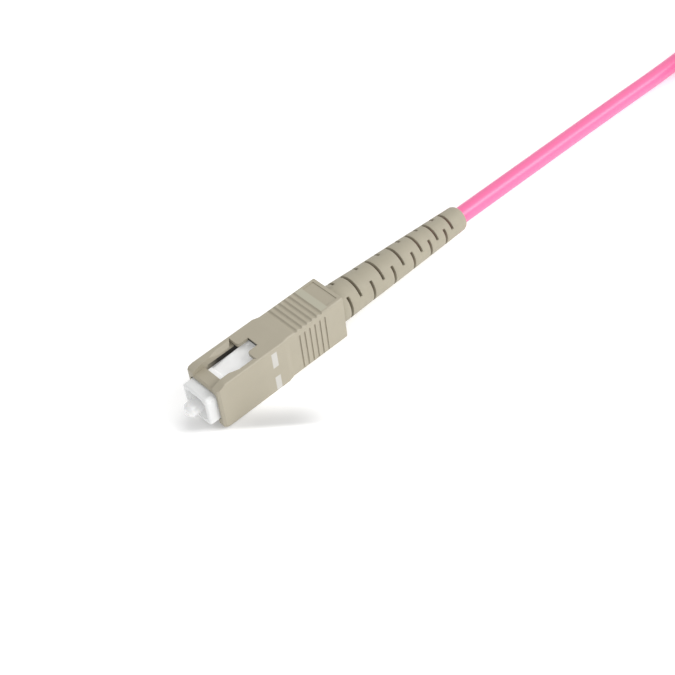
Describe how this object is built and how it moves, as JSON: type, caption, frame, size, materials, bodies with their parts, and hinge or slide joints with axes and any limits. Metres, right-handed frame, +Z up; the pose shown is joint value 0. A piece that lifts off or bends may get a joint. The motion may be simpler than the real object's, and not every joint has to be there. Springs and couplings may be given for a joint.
{
  "type": "sc fibre connector with cord",
  "caption": "Square push-pull fibre-optic plug with sliding housing, spring-loaded ferrule, slit strain-relief boot and a pink simplex cord ending in a coil.",
  "frame": {"origin": "on the underside of the outer housing, 12 mm behind its front end and under the optical axis; the plug rests on that face", "axes": "+X from the ferrule back along the cord (the plug points along -X), +Z up out of the upper window face, optical axis at Z = 4.5 mm; key on the +Y side"},
  "size_m": [0.1954, 0.0291, 0.0128],
  "materials": {
    "beige_plastic": "beige moulded plastic, fine satin",
    "white_plastic": "white moulded plastic, satin",
    "zirconia": "polished white zirconia ceramic",
    "nickel": "nickel plated brass",
    "spring_steel": "spring steel wire",
    "ptfe": "translucent PTFE",
    "silica": "clear silica",
    "buffer_plastic": "white buffer",
    "nickel_turned": "nickel plated brass, knurled post",
    "crimp_metal": "crimped metal sleeve",
    "aramid": "yellow aramid fibres",
    "boot_elastomer": "beige flexible elastomer",
    "jacket_pink": "pink cord jacket",
    "strap_plastic": "black strap"
  },
  "bodies": {
    "plug": {"plug_frame": "white_plastic", "stop_ring": "nickel_turned", "crimp_sleeve": "crimp_metal", "aramid_yarn": "aramid", "boot": "boot_elastomer", "jacket_lead": "jacket_pink", "cord_tube": "jacket_pink", "cord_coil": "jacket_pink", "coil_tie": "strap_plastic", "ferrule_spring": "spring_steel"},
    "grip": {"outer_housing": "beige_plastic"},
    "ferrule_unit": {"ferrule": "zirconia", "ferrule_flange": "nickel", "guide_tube": "ptfe", "tight_buffer": "buffer_plastic", "bare_fibre": "silica"}
  },
  "joints": [
    {"name": "grip_slide", "type": "slide", "parent": "plug", "child": "grip", "axis": [-1, 0, 0], "range_m": [0, 0.0018]},
    {"name": "ferrule_float", "type": "slide", "parent": "plug", "child": "ferrule_unit", "axis": [1, 0, 0], "range_m": [0, 0.0012], "stiffness_N_per_m": 1500, "springref_m": -0.006, "deforming": ["ferrule_spring"]}
  ]
}
